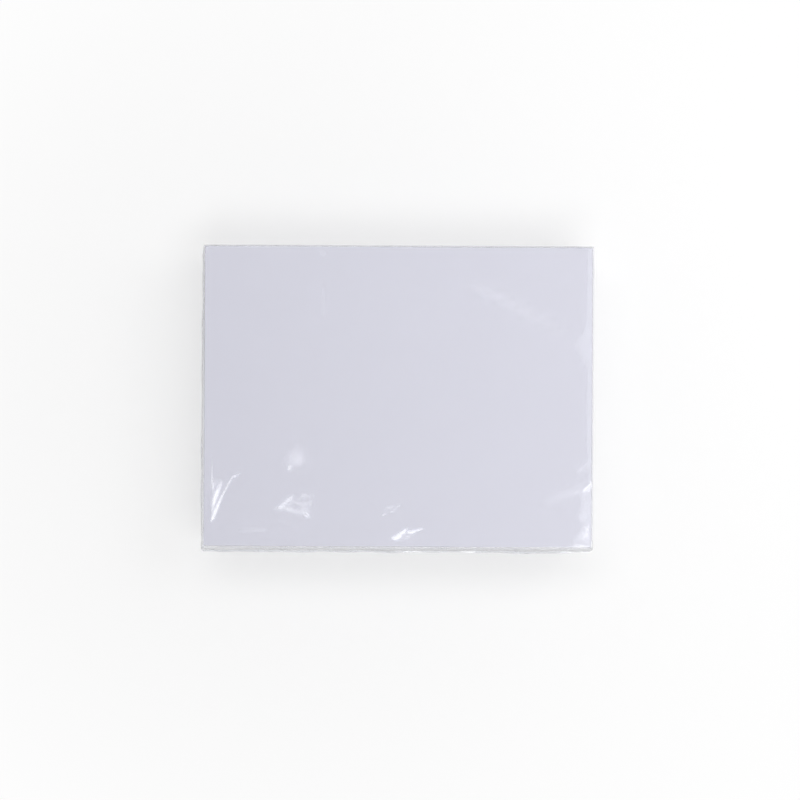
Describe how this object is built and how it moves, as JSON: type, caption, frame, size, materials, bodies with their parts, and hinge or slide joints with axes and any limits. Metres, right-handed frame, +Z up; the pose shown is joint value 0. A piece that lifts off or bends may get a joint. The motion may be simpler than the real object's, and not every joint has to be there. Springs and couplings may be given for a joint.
{
  "type": "stack of label sheets",
  "caption": "Square-edged stack of blank white letter-size adhesive label sheets, sealed in slack clear film with a seam round three sides.",
  "frame": {"origin": "centre of the sheets' outline, on the underside that the pack rests on", "axes": "+X along the sheets' long side, +Y along their short side towards the film's folded side, +Z up through the stack"},
  "size_m": [0.2927, 0.2283, 0.0515],
  "materials": {
    "label_paper": "smooth matt white label paper",
    "clear_film": "clear glossy shrink film"
  },
  "bodies": {
    "root": {"label_sheets": "label_paper", "clear_film": "clear_film"}
  },
  "joints": []
}
